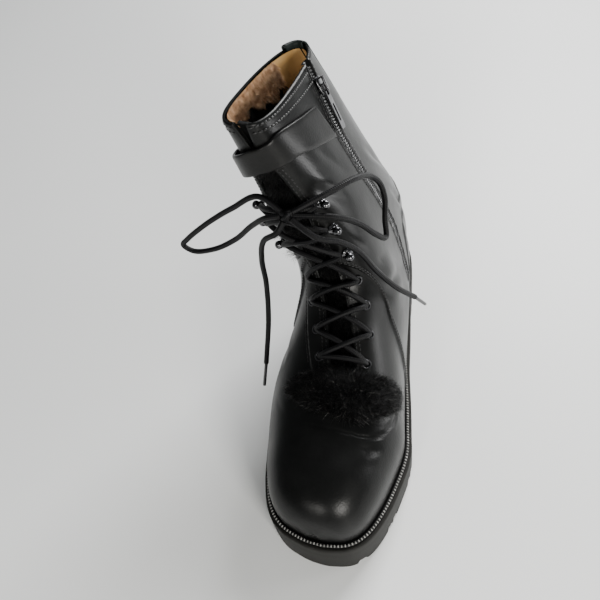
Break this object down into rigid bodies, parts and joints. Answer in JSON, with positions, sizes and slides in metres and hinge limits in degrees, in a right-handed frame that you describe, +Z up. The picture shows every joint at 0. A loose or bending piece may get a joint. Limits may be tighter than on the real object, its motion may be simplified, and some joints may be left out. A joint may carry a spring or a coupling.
{
  "type": "combat boot",
  "caption": "Right lace-up ankle combat boot with a lugged rubber sole, side zip, collar strap and fur on the vamp and tongue, standing empty with its bow tied.",
  "frame": {"origin": "on the ground under the middle of the boot, measured without the free lace", "axes": "-Y towards the toe, +X towards the inner side of the foot, +Z up from the ground"},
  "size_m": [0.1596, 0.2676, 0.237],
  "materials": {
    "leather": "semi-gloss",
    "strap_leather": "semi-gloss",
    "tab_leather": "satin",
    "sole_rubber": "matt",
    "rand_rubber": "satin",
    "lining": "brushed",
    "fur": "long pile",
    "zip_tape": "woven",
    "dark_metal": "dark nickel",
    "lace": "waxed",
    "lace_tip": "gloss"
  },
  "bodies": {
    "boot": {"outsole": "sole_rubber", "rand": "rand_rubber", "upper": "leather", "insole": "lining", "tongue": "fur", "vamp_fur": "fur", "strap": "strap_leather", "pull_tab": "tab_leather", "zip_tape": "zip_tape", "zip_slider": "dark_metal", "eyelet_inner_1": "dark_metal", "eyelet_inner_2": "dark_metal", "eyelet_inner_3": "dark_metal", "eyelet_inner_4": "dark_metal", "eyelet_outer_1": "dark_metal", "eyelet_outer_2": "dark_metal", "eyelet_outer_3": "dark_metal", "eyelet_outer_4": "dark_metal", "hook_inner_1": "dark_metal", "hook_inner_2": "dark_metal", "hook_inner_3": "dark_metal", "hook_outer_1": "dark_metal", "hook_outer_2": "dark_metal", "hook_outer_3": "dark_metal", "lace_crossings": "lace", "lace_knot": "lace", "lace_loop_outer": "lace", "lace_loop_inner": "lace", "lace_end_outer": "lace", "lace_end_inner": "lace", "lace_tip_outer": "lace_tip", "lace_tip_inner": "lace_tip"},
    "zip_pull": {"zip_pull": "dark_metal"}
  },
  "joints": [
    {"name": "zip_pull", "type": "hinge", "parent": "boot", "child": "zip_pull", "pos_m": [-0.01995, 0.06668, 0.2203], "axis": [0.0227, -0.9579, 0.2864], "range_deg": [0, 150]}
  ]
}
